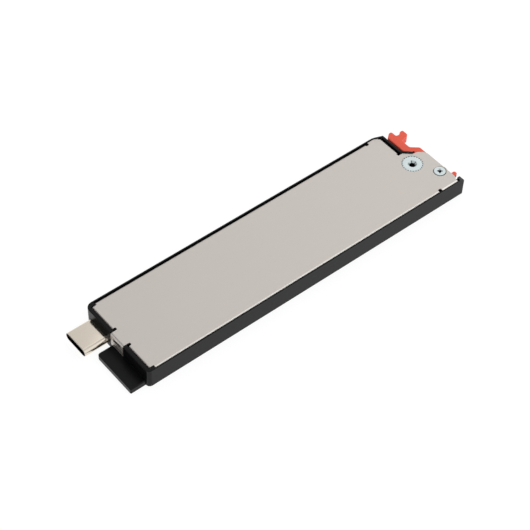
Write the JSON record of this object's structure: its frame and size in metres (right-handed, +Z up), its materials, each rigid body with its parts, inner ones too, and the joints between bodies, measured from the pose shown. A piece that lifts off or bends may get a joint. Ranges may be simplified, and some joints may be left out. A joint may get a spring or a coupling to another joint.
{
  "type": "solid state drive canister",
  "caption": "Slim drive canister: moulded tray with plug and guide tongue, folded steel cover, and a sprung finger latch that locks it in its bay.",
  "frame": {"origin": "middle of the tray's underside, on which the canister rests", "axes": "+X along the body from the plug and the tongue to the latch, +Y to the side of the handle recess, +Z up through the cover"},
  "size_m": [0.1124, 0.0264, 0.0059],
  "materials": {
    "tray_plastic": "black moulded plastic, fine satin texture",
    "cover_steel": "stamped stainless sheet, matt",
    "latch_plastic": "orange red moulded plastic, satin",
    "zinc_steel": "bright zinc plate",
    "nylon": "natural nylon",
    "spring_steel": "drawn spring wire",
    "brass": "turned",
    "plug_steel": "nickel plated drawn steel",
    "insulator_plastic": "black high temperature plastic",
    "gold_plate": "gold flash",
    "board_laminate": "glass laminate with green solder mask",
    "chip_resin": "moulded black resin",
    "can_metal": "nickel lid",
    "ferrite": "sintered ferrite",
    "capacitor_ceramic": "tan ceramic",
    "pad_silicone": "soft filled silicone",
    "film_polyester": "black polyester film"
  },
  "bodies": {
    "canister": {"tray": "tray_plastic", "cover_plate": "cover_steel", "pivot_post": "zinc_steel", "latch_washer": "nylon", "latch_spring": "spring_steel", "cover_screw": "zinc_steel", "cover_insert": "brass", "plug_shell": "plug_steel", "plug_insulator": "insulator_plastic", "plug_contacts_lower": "gold_plate", "plug_contacts_upper": "gold_plate", "adapter_board": "board_laminate", "bridge_chip": "chip_resin", "crystal": "can_metal", "power_inductor": "ferrite", "adapter_capacitors": "capacitor_ceramic", "edge_socket": "insulator_plastic", "socket_contacts": "gold_plate", "drive_board": "board_laminate", "edge_fingers": "gold_plate", "controller_chip": "chip_resin", "cache_chip": "chip_resin", "memory_chip_near": "chip_resin", "memory_chip_far": "chip_resin", "power_chip": "chip_resin", "drive_capacitors": "capacitor_ceramic", "thermal_pad": "pad_silicone", "insulating_film": "film_polyester", "module_standoff": "brass", "module_screw": "zinc_steel"},
    "latch": {"latch_lever": "latch_plastic"}
  },
  "joints": [
    {"name": "latch_pivot", "type": "hinge", "parent": "canister", "child": "latch", "pos_m": [0.04505, -0.0006, 0.003], "axis": [0, 0, 1], "range_deg": [-12, 0], "stiffness_Nm_per_rad": 0.02, "springref_deg": 17.19, "deforming": ["latch_spring"]}
  ]
}
